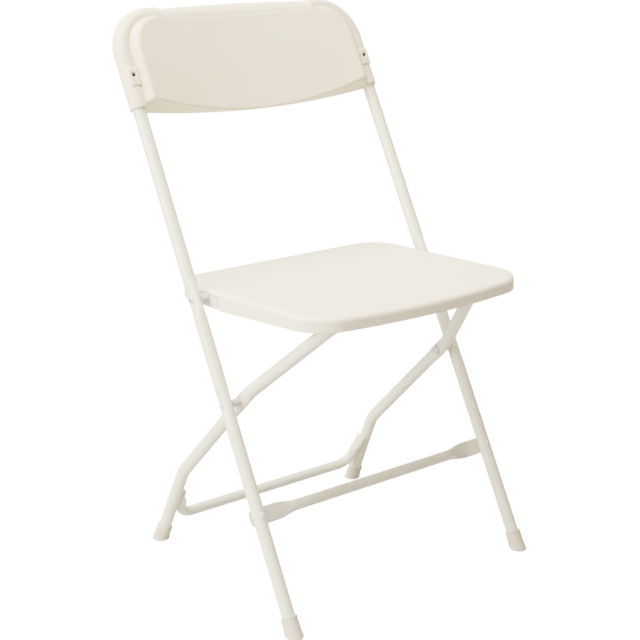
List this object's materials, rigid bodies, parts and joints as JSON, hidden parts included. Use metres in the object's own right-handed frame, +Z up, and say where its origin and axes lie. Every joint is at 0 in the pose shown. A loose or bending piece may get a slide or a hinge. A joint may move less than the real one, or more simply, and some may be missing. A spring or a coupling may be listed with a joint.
{
  "type": "folding chair",
  "caption": "Folding chair with a steel tube frame, moulded plastic seat and back; the seat swings up and the rear legs close against the long tubes.",
  "frame": {"origin": "on the floor, centre of the bounding box in plan", "axes": "+Z up, front of the chair towards -Y, X across the chair"},
  "size_m": [0.4652, 0.4845, 0.8194],
  "materials": {
    "frame_tube": "semi-gloss powder coat",
    "seat_plastic": "fine-grained moulded plastic",
    "back_plastic": "fine-grained moulded plastic",
    "foot_plastic": "soft moulded cap",
    "rivet": "painted steel rivet",
    "bracket_steel": "painted pressed steel",
    "spacer_nylon": "nylon",
    "screw_steel": "zinc-plated"
  },
  "bodies": {
    "frame": {"upright_left": "frame_tube", "upright_right": "frame_tube", "back_panel": "back_plastic", "back_panel_screws": "screw_steel", "front_crossbar": "frame_tube", "crossbar_rivets": "rivet", "front_foot_left": "foot_plastic", "front_foot_right": "foot_plastic", "leg_pivot_rivets": "rivet", "leg_pivot_spacers": "spacer_nylon", "leg_pivot_washers": "bracket_steel", "seat_pivot_rivets": "rivet", "seat_pivot_spacers": "spacer_nylon"},
    "rear_legs": {"rear_leg_left": "frame_tube", "rear_leg_right": "frame_tube", "rear_top_bar": "frame_tube", "rear_brace": "frame_tube", "rear_foot_left": "foot_plastic", "rear_foot_right": "foot_plastic", "glide_left": "spacer_nylon", "glide_right": "spacer_nylon"},
    "seat": {"seat_panel": "seat_plastic", "seat_bracket_left": "bracket_steel", "seat_bracket_right": "bracket_steel", "bracket_screws": "screw_steel", "seat_track_left": "bracket_steel", "seat_track_right": "bracket_steel", "track_screws": "screw_steel"}
  },
  "joints": [
    {"name": "seat_fold", "type": "hinge", "parent": "frame", "child": "seat", "pos_m": [0, 0.02368, 0.43008], "axis": [-1, 0, 0], "range_deg": [0, 116]},
    {"name": "leg_fold", "type": "hinge", "parent": "frame", "child": "rear_legs", "pos_m": [0, -0.04938, 0.29383], "axis": [-1, 0, 0], "range_deg": [0, 64.5]}
  ],
  "couplings": [
    {"joint": "leg_fold", "follows": "seat_fold", "ratio": 0.556}
  ]
}
